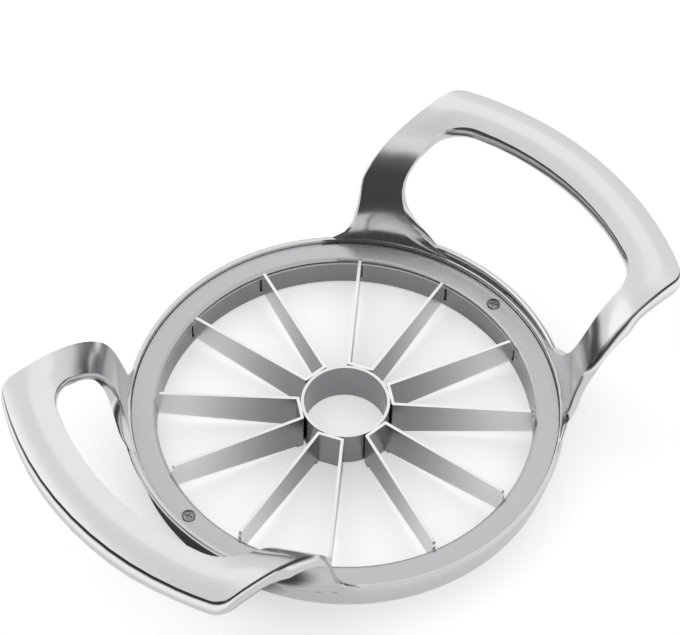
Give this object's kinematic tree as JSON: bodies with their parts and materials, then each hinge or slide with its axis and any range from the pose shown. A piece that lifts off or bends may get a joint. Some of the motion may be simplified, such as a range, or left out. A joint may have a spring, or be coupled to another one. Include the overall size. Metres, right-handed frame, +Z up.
{
  "type": "apple slicer and corer",
  "caption": "All-metal fruit slicer and corer: a round frame holds radial blades around a core tube, and is pressed down by two raised loop handles.",
  "frame": {"origin": "on the cutting ring's axis, at the flat foot that stands on the table", "axes": "+Z up along the ring's axis, away from the cutting edges; +X towards one handle, -X towards the other; +Y across the handles"},
  "size_m": [0.1746, 0.1126, 0.0423],
  "materials": {
    "cast_metal": "polished cast metal",
    "clamp_steel": "satin",
    "blade_steel": "fine brushed along the strip",
    "screw_steel": "bright"
  },
  "bodies": {
    "root": {"frame": "cast_metal", "clamp_ring": "clamp_steel", "core_tube": "blade_steel", "blade_pair_1": "blade_steel", "blade_pair_2": "blade_steel", "blade_pair_3": "blade_steel", "blade_pair_4": "blade_steel", "blade_pair_5": "blade_steel", "blade_pair_6": "blade_steel", "clamp_screws": "screw_steel"}
  },
  "joints": []
}
